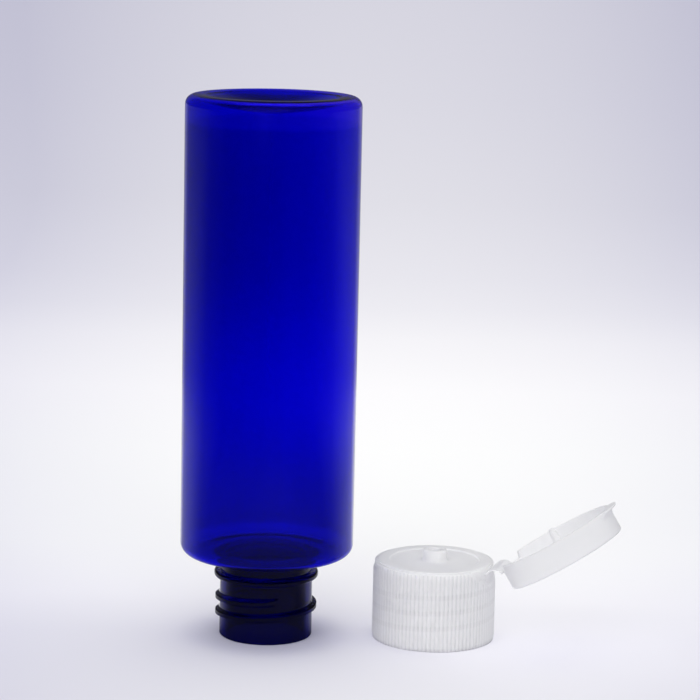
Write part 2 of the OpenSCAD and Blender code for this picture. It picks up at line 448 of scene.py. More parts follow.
@dataclass(frozen=True)
class BlownPet:
    """Stretch-blown PET, dyed cobalt.

    The wall is clear, so its colour comes from what is seen through it, and the dye deepens with
    the wall: blowing thins the body and leaves the neck and the middle of the base thick. Light
    and shade are painted into the dye too. The body's wall thickens towards the shoulder, partly
    as painted shade for the bottle's own shadow on the paper behind it. The wall is also made
    thinner and brighter at +X and thicker and darker at -X, as a painted lit side. Blowing also
    leaves upright streaks, faint draw lines and a slow waviness, which bend the highlights a
    little. Lengths are in mm.

    Attributes:
        dye: Colour of a wall of thickness 1.
        walls: Pairs of height and thickness of the wall there. Its rise towards the shoulder is
            partly the blown wall's own thickness and partly painted shade for the bottle's own
            shadow on the paper behind.
        shoulder_walls: Pairs of distance from the axis and thickness, round shoulder_z.
        base_walls: The same above base_z.
        blend_mm: Height over which one of these takes over from another.
        lean: Painted lit side: share of the thickness that the +X side lacks, so it reads
            brighter, and that the -X side has over, so it reads darker.
        lean_z: Heights between which that painted lit side sets in.
        streak: Share by which the streaks, streak_mm wide and long, thicken and thin the wall.
        shade: Colour of lamp light behind one surface of the wall.
        gloss: Roughness in the troughs and on the crests of the waves.
        draw_line_mm: Width and length of a draw line.
        relief_mm: Height of draw lines and waves, of which relief_strength bends the light.
    """

    name: str = "cobalt_blown_pet"
    dye: str = "#1205de"
    # Painted shade: the rise from 57 mm down to 27 mm is partly the blown wall's own thickness
    # and partly stands in for the bottle's shadow on the paper behind it.
    walls: Pairs = (
        (0.0, 6.8), (22.0, 6.8), (24.0, 1.6), (27.0, 2.15), (36.0, 1.85), (45.0, 1.5),
        (57.0, 1.05), (68.0, 0.95), (84.0, 1.2), (100.0, 1.5), (125.0, 1.55), (138.0, 1.4),
        (146.0, 0.8))
    shoulder_walls: Pairs = (
        (0.0, 6.8), (11.5, 6.8), (13.0, 2.6), (18.0, 1.4), (24.0, 1.0))
    shoulder_z: float = 22.8
    base_walls: Pairs = (
        (0.0, 7.0), (11.0, 7.0), (15.0, 4.0), (18.0, 0.9), (24.0, 0.7))
    base_z: float = 138.0
    blend_mm: float = 1.5
    body_r: float = 23.33
    lean: float = 0.45
    lean_z: Pair = (38.0, 64.0)
    streak: float = 0.3
    streak_mm: Pair = (7.0, 300.0)
    shade: str = "#1a1ac8"
    ior: float = 1.57
    gloss: Pair = (0.035, 0.075)
    draw_line_mm: Pair = (1.6, 96.0)
    wave_mm: float = 22.0
    relief_mm: float = 0.012
    relief_strength: float = 0.5

    @staticmethod
    def upright(add: Adder, place: Source, size_mm: Pair) -> Source:
        """Draws noise out into upright lines.

        Args:
            add: Adds a node to the material.
            place: Object coordinates.
            size_mm: Width and length of the lines.

        Returns:
            The noise, about 0.5.
        """
        across, along = (1 / (size * MM) for size in size_mm)
        lines = add("ShaderNodeMapping", {"Vector": place, "Scale": (across, across, along)})
        return add(NOISE, {"Vector": lines, "Scale": 1.0, "Detail": 2.0})

    def thickness(self, add: Adder, place: Source) -> Source:
        """Works out how thick the wall is.

        The lists give the thickness by height and, on the shoulder and the base, by distance from
        the axis. It is taken times 1 - lean * x / body_r + streak * (noise - 0.5). The lean term
        is a painted lit side: thinner and brighter at +X, thicker and darker at -X.

        Args:
            add: Adds a node to the material.
            place: Object coordinates.

        Returns:
            The thickness.
        """
        x, _, z, off_axis = in_mm(add, place)
        on_base = add(**RISE, inputs=(z, self.base_z, self.base_z + self.blend_mm, 0.0, 1.0))
        off = add(MATH, (z, self.shoulder_z), "SUBTRACT")
        off = add(MATH, (off,), "ABSOLUTE")
        on_shoulder = add(**RISE, inputs=(off, self.blend_mm, 2 * self.blend_mm, 1.0, 0.0))
        # The height ramp's rise towards the shoulder is partly painted shade for the bottle's own
        # shadow on the paper behind it.
        wall = blend_values(add, on_base, curve(add, z, self.walls),
                            curve(add, off_axis, self.base_walls))
        wall = blend_values(add, on_shoulder, wall, curve(add, off_axis, self.shoulder_walls))
        # Painted lit side: the wall thins towards +X so that side reads brighter, and thickens
        # towards -X so that side reads darker.
        lean = add(**RISE, inputs=(z, *self.lean_z, 0.0, -self.lean / self.body_r))
        lean = add(MATH, (x, lean, 1.0), "MULTIPLY_ADD")
        streaks = add(MATH, (self.upright(add, place, self.streak_mm), 0.5), "SUBTRACT")
        uneven = add(MATH, (streaks, self.streak, lean), "MULTIPLY_ADD")
        return add(MATH, (wall, uneven), "MULTIPLY")

    def build(self) -> Material:
        """Makes the finish. A wall of thickness t lets through dye ** t of each colour.

        Returns:
            The material.
        """
        material, add, place = new_material(self.name)
        wave = add(NOISE, {"Vector": place, "Scale": 1 / (self.wave_mm * MM), "Detail": 1.0})
        relief = add(MATH, (self.upright(add, place, self.draw_line_mm), wave), "ADD")
        bump = add("ShaderNodeBump", {"Height": relief, "Strength": self.relief_strength,
                                      "Distance": self.relief_mm * MM})
        wall = self.thickness(add, place)
        passed = tuple(add(MATH, (c, wall), "POWER") for c in linear(self.dye)[:3])
        shader = add("ShaderNodeBsdfPrincipled", {
            "Base Color": add("ShaderNodeCombineColor", passed),
            "Roughness": add(**RISE, inputs=(wave, *NOISE_SPAN, *self.gloss)),
            "IOR": self.ior, "Transmission Weight": 1.0, "Normal": bump})
        lets_light_through(add, shader, linear(self.shade))
        return material


@dataclass(frozen=True)
class NaturalPolypropylene:
    """Injection-moulded polypropylene without pigment.

    Unpigmented PP is milky: light that enters it wanders a few millimetres and comes out on any
    side, so thin walls glow evenly. The mould's fine satin texture spreads the highlights. Shade
    is painted into the colour: a darker band where the tooth of a thread moulded inside the wall
    stands, and darker grooves between the ribs than on their crests. Lengths are in mm, angles in
    degrees.

    Attributes:
        milk: Colour of the thinner of the clouds that the flow leaves in the plastic.
        milk_deep: Colour of the denser ones.
        shade: Colour of lamp light behind one surface of the wall.
        wander_mm: How far light gets before it is scattered.
        through: Share of light that passes straight on, blurred.
        gloss: Roughness at the denser and at the thinner clouds.
        flow_mm: Size of the clouds.
        grain_mm: Size of the mould's grain, drawn coarser than the real 0.1 mm so as to show.
        relief_mm: Height of the grain, of which relief_strength bends the light.
        tooth: Thread inside the wall, if any, over which shade is painted.
        axis: Where the thread's axis stands and how far it is turned.
        tooth_painted_shade: Share of the colour that painted shade takes over the tooth.
        tooth_fade: Height over which that ends past the thread.
        ribs: Number of ribs round the axis.
        rib_r: Distance of the grooves' floor from the axis.
        rib_fade: How far below that floor the grooves' painted shade starts and is full.
        groove_painted_shade: Share of the colour that painted shade takes in the grooves between
            them.
        groove_span: Cosines between which a groove's painted shade sets in; 1 is its middle.
    """

    name: str = "natural_polypropylene"
    milk: str = "#fefefe"
    milk_deep: str = "#fbfbfc"
    shade: str = "#f2f2f5"
    ior: float = 1.49
    wander_mm: float = 3.2
    through: float = 0.15
    gloss: Pair = (0.34, 0.42)
    flow_mm: float = 9.0
    grain_mm: float = 0.35
    relief_mm: float = 0.01
    relief_strength: float = 0.25
    tooth: Thread | None = None
    axis: Triple = (0.0, 0.0, 0.0)
    tooth_painted_shade: float = 0.06
    tooth_fade: float = 1.0
    ribs: int = 0
    rib_r: float = 0.0
    rib_fade: Pair = (0.04, 0.01)
    groove_painted_shade: float = 0.14
    groove_span: Pair = (-0.1, 0.7)

    def painted_shade_kept(self, add: Adder, place: Source, tooth: Thread) -> Source:
        """Returns the share of colour that painted shade leaves over a thread's tooth and between
        the ribs.

        The tooth stands where (z - z_front) / pitch less the angle in turns is whole, and the
        middle of a groove where ribs times the angle in turns is.

        Args:
            add: Adds a node to the material.
            place: Object coordinates.
            tooth: The thread inside the wall.

        Returns:
            A share from 0 to 1.
        """
        x, y, z, off_axis = in_mm(add, place, (*self.axis[:2], tooth.z_front))
        front = add(MATH, (y, -1.0), "MULTIPLY")
        angle = add(MATH, (x, front), "ARCTAN2")
        turns = add(MATH, (angle, 1 / TAU, -self.axis[2] / 360.0), "MULTIPLY_ADD")
        laps = add(MATH, (z, tooth.pitch), "DIVIDE")
        laps = add(MATH, (laps, turns), "SUBTRACT")
        off = add(MATH, (laps, 0.5, -0.5), "WRAP")
        off = add(MATH, (off,), "ABSOLUTE")
        # Painted shade: a darker band over the thread's tooth.
        tooth_shade_band = add(**RISE, inputs=(off, 0.5 * tooth.tip_w / tooth.pitch,
                                   0.5 * tooth.root_w / tooth.pitch, self.tooth_painted_shade, 0.0))
        reach = tooth.pitch * (tooth.end + 90.0) / 360.0
        height = add(MATH, (z,), "ABSOLUTE")
        tooth_shade_band = add(MATH, (tooth_shade_band, add(**RISE, inputs=(
            height, reach, reach + self.tooth_fade, 1.0, 0.0))), "MULTIPLY")
        # Painted shade in the grooves between the ribs.
        wave = add(MATH, (turns, TAU * self.ribs), "MULTIPLY")
        wave = add(MATH, (wave,), "COSINE")
        groove = add(**RISE, inputs=(wave, *self.groove_span, 0.0, self.groove_painted_shade))
        start, full = (self.rib_r - under for under in self.rib_fade)
        groove = add(MATH, (groove, add(**RISE, inputs=(off_axis, start, full, 0.0, 1.0))),
                     "MULTIPLY")
        taken = add(MATH, (tooth_shade_band, groove), "ADD")
        return add(MATH, (1.0, taken), "SUBTRACT")

    def build(self) -> Material:
        """Makes the finish.

        Returns:
            The material.
        """
        material, add, place = new_material(self.name)
        flow, grain = (add(NOISE, {"Vector": place, "Scale": 1 / (size * MM), "Detail": 2.0})
                       for size in (self.flow_mm, self.grain_mm))
        bump = add("ShaderNodeBump", {"Height": grain, "Strength": self.relief_strength,
                                      "Distance": self.relief_mm * MM})
        colour = add("ShaderNodeValToRGB", (flow,), stops=list(zip(
            NOISE_SPAN, (linear(self.milk_deep), linear(self.milk)))))
        # Painted shade darkens the colour over the thread's tooth and in the rib grooves.
        if self.tooth:
            kept = self.painted_shade_kept(add, place, self.tooth)
            colour = add(VECTOR, {0: colour, "Scale": kept}, "SCALE")
        shader = add("ShaderNodeBsdfPrincipled", {
            "Base Color": colour, "IOR": self.ior, "Transmission Weight": self.through,
            "Roughness": add(**RISE, inputs=(flow, *NOISE_SPAN, *self.gloss)),
            "Subsurface Weight": 1.0, "Subsurface Radius": (1.0, 1.0, 1.0),
            "Subsurface Scale": self.wander_mm * MM, "Normal": bump})
        lets_light_through(add, shader, linear(self.shade))
        return material


def dress(piece: Object, material: Material, slot: Slot) -> None:
    """Gives a piece its material.

    The milky pieces are kept out of the bottle's mirror image, where their glow would draw a
    hard pale leaf.

    Args:
        piece: The piece.
        material: Its finish.
        slot: The slot.
    """
    piece.data.materials.append(material)
    piece.visible_glossy = slot is not Slot.NATURAL


# ---------------------------------------------------------------- sub-assemblies


@dataclass(frozen=True)
class Bottle:
    """The blown bottle, upside down on its mouth, all sizes in mm.

    Attributes:
        base_r: Fillet of the base, which stands on a ring base_ring_w wide.
        pip: Radius and height over the base of the gate mark's profile.
        pip_gap: Run from there to the base's dome.
        dome_gap: How far from the ring the dome ends, outside and inside the wall.
        ring_step: Run and drop from the dome to the ring, inside the wall.
        shoulder_r: Fillet between body and shoulder.
        root_r: Fillet between shoulder and neck, outside and inside.
        bead_t: Height of the transfer bead, of which bead_taper slopes at each side.
    """

    height: float = 146.0
    body_r: float = 23.33
    wall: float = 0.75
    base_r: float = 2.7
    base_ring_w: float = 2.4
    push_up: float = 4.0
    pip: Pairs = ((0.0, 0.4), (0.6, 0.4), (1.1, 0.34), (1.4, 0.08))
    pip_gap: float = 0.3
    dome_gap: Pair = (0.7, 1.2)
    ring_step: Pair = (0.5, 0.05)
    shoulder_z: float = 22.6
    shoulder_r: float = 3.0
    root_r: Pair = (2.2, 1.2)
    neck_r: float = 12.5
    bore_r: float = 10.9
    lip_r: float = 0.5
    bead_r: float = 14.1
    bead_z: float = 16.0
    bead_t: float = 2.3
    bead_taper: float = 0.15
    columns: int = 320
    thread: Thread = Thread(4.233, 7.4, -160.0, 380.0, 2.3, 1.0, 1.25)

    @property
    def ring_r(self) -> float:
        """Radius at which the pushed-up base meets its ring."""
        return self.body_r - self.base_r - self.base_ring_w

    def dome(self, drop: float, r_from: float, r_to: float, steps: int = 12) -> Array:
        """Profile of the pushed-up base: a circle's arc through the base ring.

        Args:
            drop: How far it is lowered.
            r_from: Distance from the axis at which it starts.
            r_to: Distance at which it ends.
            steps: Number of its steps.

        Returns:
            Points as a (steps + 1, 2) array of radius and height.
        """
        radius = (self.ring_r ** 2 + self.push_up ** 2) / (2 * self.push_up)
        r = np.linspace(r_from, r_to, steps + 1)
        z = self.height - self.push_up + radius - drop - np.sqrt(radius ** 2 - r ** 2)
        return np.stack([r, z], axis=-1)

    def profile(self) -> Array:
        """Profile of the whole wall, from the outer base centre round the mouth to the inner.

        Returns:
            Points as a (rows, 2) array of radius and height.
        """
        pip = np.array(self.pip) + [0.0, self.height - self.push_up]
        bead_top = self.bead_z + self.bead_t
        root_out, root_in = self.root_r
        outside = rounded_profile([
            Corner(self.ring_r, self.height),
            Corner(self.body_r, self.height, self.base_r, 4),
            Corner(self.body_r, self.shoulder_z, self.shoulder_r, 3),
            Corner(self.neck_r, self.shoulder_z, root_out),
            Corner(self.neck_r, bead_top, 0.15),
            Corner(self.bead_r, bead_top - self.bead_taper, 1.0),
            Corner(self.bead_r, self.bead_z + self.bead_taper, 1.0),
            Corner(self.neck_r, self.bead_z, 0.15, 90),
            Corner(self.neck_r, 0.0, self.lip_r),
            Corner(self.bore_r, 0.0, 0.12, 6),
            Corner(self.bore_r, self.shoulder_z + self.wall, root_in),
            Corner(self.body_r - self.wall, self.shoulder_z + self.wall,
                   self.shoulder_r - self.wall, 3),
            Corner(self.body_r - self.wall, self.height - self.wall, self.base_r - self.wall),
            Corner(self.ring_r - self.ring_step[0], self.height - self.wall - self.ring_step[1]),
        ], arc_steps=8)
        return np.concatenate([
            pip, self.dome(0.0, pip[-1, 0] + self.pip_gap, self.ring_r - self.dome_gap[0]),
            outside, self.dome(self.wall, self.ring_r - self.dome_gap[1], 0.0)])

    def shell(self) -> Object:
        """Builds the wall: the turned profile, its neck pushed out by the thread's relief.

        Returns:
            The undressed piece.
        """
        profile, turn = self.profile(), angles(self.columns)
        r, z = profile[:, :1], profile[:, 1:]
        on_neck = (np.abs(r - self.neck_r) < ON_WALL) & (z < self.bead_z)
        r = r + np.where(on_neck, self.thread.relief(turn, z), 0.0)
        return skin("bottle", polar(r, turn, z), Ends.POLES)

    def build(self, finish: Material) -> Object:
        """Builds and dresses the bottle, which stands for its two CAD nodes.

        Args:
            finish: Its material.

        Returns:
            The piece.
        """
        piece = self.shell()
        dress(piece, finish, Slot.COBALT)
        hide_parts("bottle_shell", "neck_thread")
        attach(piece, Body.BOTTLE.value)
        return piece


@dataclass(frozen=True)
class CapPlace:
    """Where the cap stands and how its hinge lies, in mm and degrees.

    Attributes:
        turn: How far the hinge side is turned from +X.
        hinge_x: Distance of the hinge line from the cap's axis.
        open_angle: How far the lid is swung up from where it is closed.
    """

    x: float = 45.5
    y: float = 0.7
    turn: float = -16.0
    hinge_x: float = 17.75
    hinge_z: float = 21.4
    open_angle: float = 148.0

    def set_down(self, points: Array) -> Array:
        """Turns and shifts points from the cap's own axes to the frame's.

        Args:
            points: Points in mm.

        Returns:
            The same points in the frame, in mm.
        """
        c, s = cos_sin(self.turn)
        x, y, z = points[..., 0], points[..., 1], points[..., 2]
        return np.stack([x * c - y * s + self.x, x * s + y * c + self.y, z], axis=-1)

    def swung(self, x: Array, z: Array) -> tuple[Array, Array]:
        """Swings what is drawn with the lid closed about the hinge line to the open lid's.

        Args:
            x: Distances from the cap's axis towards the hinge.
            z: Heights.

        Returns:
            The distances and the heights with the lid open.
        """
        c, s = cos_sin(self.open_angle)
        x, z = x - self.hinge_x, z - self.hinge_z
        return x * c + z * s + self.hinge_x, z * c - x * s + self.hinge_z

    def opened(self, points: Array) -> Array:
        """Moves points drawn with the lid closed to where the lid rests open in the frame."""
        x, z = self.swung(points[..., 0], points[..., 2])
        return self.set_down(np.stack([x, points[..., 1], z], axis=-1))


@dataclass(frozen=True)
class CapBody:
    """Skirt, deck, spout and seals of the cap, one moulding, sizes in mm.

    Attributes:
        flank: Value of the rib wave, either side of 0, over which a rib's flank rises.
        rib_fade: Height over which the ribs fade out at each rim.
        seat_r: Outside of the raised ring that the lid shuts on; seat_z is its height.
        dish_r: Foot of the sloped wall, dish_slope wide, down to the deck.
        land_in, land_out: Radii of the ring that presses on the bottle's lip, at land_z.
        plug_out, plug_in: Radii of the plug seal, plug_taper narrower at its root.
        lead_r: Mouth of the bore, lead_h high, which runs into the bore over lead_slope.
        scoop_r: Radius of the thumb scoop, which lies above an arc of scoop_arc from scoop_z.
        window_r: Radius of the hinge window, in the same way.
        cut_soft: Height, either side of those arcs, over which a cut sets in.
        cut_side: Cosine of the widest angle from the hinge or the thumb that a cut reaches.
        rim_z: Height up to which the rim has no relief.
    """

    place: CapPlace
    crest_r: float = 16.55
    rib_depth: float = 0.36
    flank: float = 0.45
    rib_fade: float = 0.5
    ribs: int = 90
    ledge_z: float = 21.15
    seat_r: float = 15.2
    seat_z: float = 21.45
    dish_r: float = 11.8
    dish_slope: float = 0.4
    deck_z: float = 21.15
    under_z: float = 19.65
    land_z: float = 17.95
    land_in: float = 11.3
    land_out: float = 12.4
    plug_out: float = 10.7
    plug_in: float = 9.6
    plug_z: float = 15.6
    plug_taper: float = 0.1
    bore_in: float = 14.35
    lead_r: float = 14.6
    lead_h: float = 2.2
    lead_slope: float = 0.4
    orifice_r: float = 1.65
    spout_r: float = 3.35
    spout_top_r: float = 3.25
    spout_root: float = 0.6
    spout_h: float = 3.1
    scoop_r: float = 16.14
    scoop_z: float = 19.5
    scoop_arc: float = 50.0
    window_r: float = 15.85
    window_z: float = 16.3
    window_arc: float = 14.0
    cut_soft: float = 0.12
    cut_side: float = 0.5
    rim_z: float = 0.05
    columns_per_rib: int = 6
    thread: Thread = Thread(4.233, 10.4, -380.0, 380.0, 1.9, 0.8, 1.4)

    def corners(self) -> list[Corner]:
        """Corners of the closed wall profile, from the rim up the outside and back inside.

        Returns:
            The corners in order.
        """
        top = self.deck_z + self.spout_h
        return [
            Corner(self.lead_r, 0.0, 0.15),
            Corner(self.crest_r, 0.0, 0.3, 22),
            Corner(self.crest_r, self.ledge_z, 0.35),
            Corner(self.seat_r, self.ledge_z, 0.1),
            Corner(self.seat_r, self.seat_z, 0.15, 3),
            Corner(self.dish_r + self.dish_slope, self.seat_z, 0.15),
            Corner(self.dish_r, self.deck_z, 0.15, 5),
            Corner(self.spout_r, self.deck_z, self.spout_root),
            Corner(self.spout_top_r, top, 0.4),
            Corner(self.orifice_r, top, 0.2, 3),
            Corner(self.orifice_r, self.under_z, 0.2, 3),
            Corner(self.plug_in, self.under_z, 0.3),
            Corner(self.plug_in, self.plug_z, 0.4),
            Corner(self.plug_out, self.plug_z, 0.4),
            Corner(self.plug_out - self.plug_taper, self.under_z, 0.1),
            Corner(self.land_in, self.under_z, 0.1),
            Corner(self.land_in, self.land_z, 0.2),
            Corner(self.land_out, self.land_z, 0.2),
            Corner(self.land_out, self.under_z, 0.15),
            Corner(self.bore_in, self.under_z, 0.5, 58),
            Corner(self.bore_in, self.lead_h + self.lead_slope, 0.1),
            Corner(self.lead_r, self.lead_h, 0.1, 2),
        ]

    def above_arc(self, y: Array, z: Array, bottom: float, radius: float) -> Array:
        """Returns 1 above a circle's lowest arc, drawn on the skirt's side view, and 0 below."""
        edge = bottom + radius - np.sqrt(np.clip(radius ** 2 - y ** 2, 0.0, None))
        return smoothstep(-self.cut_soft, self.cut_soft, z - edge)

    def moulded(self) -> Array:
        """Grid of the wall in the cap's own axes.

        The profile is turned, then reliefs change its radius: the ribs outside, a wave of
        flat-topped teeth that the two rims fade out; the hinge window and the thumb scoop,
        which cut the ribs off above an arc; and the thread inside.

        Returns:
            (rows, columns, 3) points in mm.
        """
        profile = rounded_profile(self.corners(), closed=True, arc_steps=3)
        turn = angles(self.ribs * self.columns_per_rib)
        r, z = profile[:, :1], profile[:, 1:]
        outside = (r > 0.5 * (self.seat_r + self.crest_r)) & (z > self.rim_z)
        tooth = smoothstep(-self.flank, self.flank, np.cos(self.ribs * turn))
        across, heading = self.crest_r * np.sin(turn), np.cos(turn)
        window = self.above_arc(across, z, self.window_z, self.window_arc)
        window = window * (heading > self.cut_side)
        scoop = self.above_arc(across, z, self.scoop_z, self.scoop_arc)
        scoop = scoop * (heading < -self.cut_side)
        ends = smoothstep(0.0, self.rib_fade, z) \
            * (1.0 - smoothstep(self.ledge_z - self.rib_fade, self.ledge_z, z))
        ribbed = r - self.rib_depth * (1.0 - tooth * ends)
        radius = ribbed + window * (np.minimum(ribbed, self.window_r) - ribbed)
        radius = radius + scoop * (np.minimum(radius, self.scoop_r) - radius)
        radius = np.where(outside, radius, r)
        on_bore = (np.abs(r - self.bore_in) < ON_WALL) & (z < self.under_z)
        radius = np.where(on_bore, r - self.thread.relief(turn, z), radius)
        return polar(radius, turn, z)

    def build(self, finish: Material) -> Object:
        """Builds and dresses the cap's body, which stands for four CAD nodes.

        Args:
            finish: Its material.

        Returns:
            The piece.
        """
        piece = skin("cap_body", self.place.set_down(self.moulded()), Ends.RING)
        dress(piece, finish, Slot.NATURAL)
        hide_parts("cap_skirt", "cap_thread", "pour_spout", "plug_seal")
        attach(piece, Body.CAP.value)
        return piece


@dataclass(frozen=True)
class Lid:
    """The flip lid with its stopper pin and thumb lip, sizes in mm, drawn closed.

    Attributes:
        rim_z: Height of the rim over the floor.
        edge: Fillet between roof and wall.
        tab_reach: How far the thumb lip stands out, tab_h high and tab_w wide.
        tab_rim: Height of the lip's straight edge.
        tab_fade: Width, inside and outside of each end, over which the lip fades.
        rim_cut: How far the rim is lifted at the hinge, within cut_angle degrees of it.
        cut_fade: Half of the angle over which the lift sets in, in degrees.
        still: Height under the ceiling that the lift leaves as it is.
        lift_in: How far inside the wall the lift reaches.
        pin_z: Height of the stopper pin's tip; boss_z is that of its foot's boss.
    """

    place: CapPlace
    outer_r: float = 16.5
    rim_z: float = 21.2
    height: float = 7.2
    wall: float = 0.85
    roof: float = 1.1
    edge: float = 0.7
    tab_reach: float = 1.9
    tab_h: float = 2.4
    tab_w: float = 12.0
    tab_rim: float = 0.5
    tab_fade: Pair = (0.7, 0.3)
    rim_cut: float = 1.8
    cut_angle: float = 30.0
    cut_fade: float = 1.2
    still: float = 0.6
    lift_in: float = 0.3
    pin_r: float = 1.4
    pin_tip_r: float = 0.85
    pin_z: float = 19.2
    boss_r: float = 2.8
    boss_z: float = 24.9
    columns: int = 360

    def corners(self) -> list[Corner]:
        """Corners from the roof's outer centre down the wall and back inside to the pin's tip.

        Returns:
            The corners in order.
        """
        top, ceiling = self.rim_z + self.height, self.rim_z + self.height - self.roof
        inner_r = self.outer_r - self.wall
        return [
            Corner(0.0, top, 0.0, 8),
            Corner(self.outer_r, top, self.edge, 24),
            Corner(self.outer_r, self.rim_z, 0.2),
            Corner(inner_r, self.rim_z, 0.2, 14),
            Corner(inner_r, ceiling, 0.5, 6),
            Corner(self.boss_r, ceiling, 0.3),
            Corner(self.boss_r, self.boss_z, 0.3),
            Corner(self.pin_r, self.boss_z, 0.15, 4),
            Corner(self.pin_tip_r, self.pin_z, 0.3),
            Corner(0.0, self.pin_z),
        ]

    def moulded(self) -> Array:
        """Grid of the lid, closed, in the cap's own axes.

        The turned profile gets two reliefs: the rim is lifted by rim_cut inside the hinge
        angle, by squeezing the heights of the wall; and the thumb lip pushes the outer wall out
        in a hollow curve that fades upwards.

        Returns:
            (rows, columns, 3) points in mm.
        """
        profile, turn = rounded_profile(self.corners(), arc_steps=4), angles(self.columns)
        r, z = profile[:, :1], profile[:, 1:]
        off_hinge = np.degrees(np.abs((turn + math.pi) % TAU - math.pi))
        cut = self.rim_cut * (1.0 - smoothstep(
            self.cut_angle - self.cut_fade, self.cut_angle + self.cut_fade, off_hinge))
        squeezed = self.height - self.roof - self.still
        depth = np.clip((self.rim_z + squeezed - z) / squeezed, 0.0, 1.0)
        on_wall = r > self.outer_r - self.wall - self.lift_in
        lifted = z + np.where(on_wall, cut * depth, 0.0)
        across, half = np.abs(self.outer_r * np.sin(turn)), 0.5 * self.tab_w
        on_thumb = (np.cos(turn) < 0) * (1.0 - smoothstep(
            half - self.tab_fade[0], half + self.tab_fade[1], across))
        rise = np.clip((z - self.rim_z - self.tab_rim) / (self.tab_h - self.tab_rim), 0.0, 1.0)
        lip = self.tab_reach * (1.0 - np.sqrt(np.clip(1.0 - (1.0 - rise) ** 2, 0.0, 1.0)))
        outer = r > self.outer_r - 0.5 * self.wall
        radius = r + np.where(outer, lip * on_thumb, 0.0)
        return polar(radius, turn, lifted)

    def build(self, finish: Material) -> Object:
        """Builds and dresses the lid, which stands for two CAD nodes.

        Args:
            finish: Its material.

        Returns:
            The piece.
        """
        piece = skin("lid", self.place.opened(self.moulded()), Ends.POLES)
        dress(piece, finish, Slot.NATURAL)
        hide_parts("lid_shell", "lid_stopper")
        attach(piece, Body.LID.value)
        return piece


@dataclass(frozen=True)
class HingeStrap:
    """The living hinge: one web that thins at the hinge line, sizes in mm.

    Attributes:
        film: Thickness at the hinge line, to which film_share of the length thins.
        cap_z, lid_z: Heights that it stays a clearance below at the cap and above at the
            closed lid.
        sink: How far each end stands in its wall.
        square: Power of the section's superellipse; the smaller, the squarer.
        bend: Distance either side of the hinge line of two points that the build works out and
            doesn't use.
    """

    place: CapPlace
    width: float = 11.3
    thick: float = 0.55
    film: float = 0.26
    film_share: float = 0.12
    cap_r: float = 15.85
    cap_z: float = 20.1
    lid_r: float = 16.5
    lid_z: float = 23.0
    sink: float = 0.35
    clearance: float = 0.1
    square: float = 0.25
    bend: float = 1.2
    rows: int = 25
    columns: int = 40

    def centre_line(self) -> tuple[Array, Array]:
        """Centre line of the web from the cap's wall to the open lid's, and its thickness.

        The line is a quadratic curve that passes the hinge line half way; the thickness
        falls to the film's there, along a bell curve.

        Returns:
            (rows, 2) points in the hinge's upright plane, and (rows,) thicknesses.
        """
        off = 0.5 * self.thick + self.clearance
        hinge = np.array([self.place.hinge_x, self.place.hinge_z])
        start = np.array([self.cap_r - self.sink, self.cap_z - off])
        end = np.array(self.place.swung(self.lid_r - self.sink, self.lid_z + off))
        t = np.linspace(0.0, 1.0, self.rows)[:, None]
        line = (1 - t) ** 2 * start + 2 * t * (1 - t) * (2 * hinge - 0.5 * (start + end)) \
            + t ** 2 * end
        near = np.exp(-((t[:, 0] - 0.5) / self.film_share) ** 2)
        return line, self.thick * (1 - near) + self.film * near

    def build(self, finish: Material) -> Object:
        """Builds and dresses the web: a superellipse section carried along the centre line.

        Args:
            finish: Its material.

        Returns:
            The piece.
        """
        line, thickness = self.centre_line()
        along = np.gradient(line, axis=0)
        along /= np.linalg.norm(along, axis=1)[:, None]
        normal = np.stack([-along[:, 1], along[:, 0]], axis=-1)
        turn = angles(self.columns)
        side, up = (0.5 * np.sign(wave) * np.abs(wave) ** self.square
                    for wave in (np.cos(turn), np.sin(turn)))
        offset = thickness[:, None] * up
        x = line[:, :1] + normal[:, :1] * offset
        z = line[:, 1:] + normal[:, 1:] * offset
        y = np.broadcast_to(self.width * side, x.shape)
        grid = np.stack([x, y, z], axis=-1)
        caps = grid[[0, -1]].mean(axis=1, keepdims=True) + np.zeros((1, self.columns, 1))
        grid = np.concatenate([caps[:1], grid, caps[1:]])
        piece = skin("hinge_strap", self.place.set_down(grid), Ends.POLES)
        dress(piece, finish, Slot.NATURAL)
        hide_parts("hinge_cap_leaf", "hinge_lid_leaf")
        reach = np.array([[self.place.hinge_x + off, 0.0, self.place.hinge_z]
                          for off in (-self.bend, self.bend)])
        start, end = self.place.set_down(reach) * MM
        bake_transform(piece)
        return piece


# ---------------------------------------------------------------- studio


@dataclass(frozen=True)
class SoftLight:
    """A broad lamp so far away that its light is even. Shiny surfaces don't show it.

    Attributes:
        name: Name of the lamp.
        azimuth: Where it stands, in degrees from the camera's side (-Y) towards +X.
        elevation: Degrees above the floor.
        level: Brightness of white paper that faces it.
        spread: Angle that it fills, in degrees.
    """

    name: str
    azimuth: float
    elevation: float
    level: float
    spread: float

    def build(self) -> None:
        """Adds the lamp to the scene."""
        data = bpy.data.lights.new(self.name, "SUN")
        data.energy = math.pi * self.level
        data.angle = math.radians(self.spread)
        lamp = add_object(self.name, data)
        lamp.rotation_euler = (math.radians(90.0 - self.elevation), 0.0,
                               math.radians(self.azimuth))
        lamp.visible_glossy = False


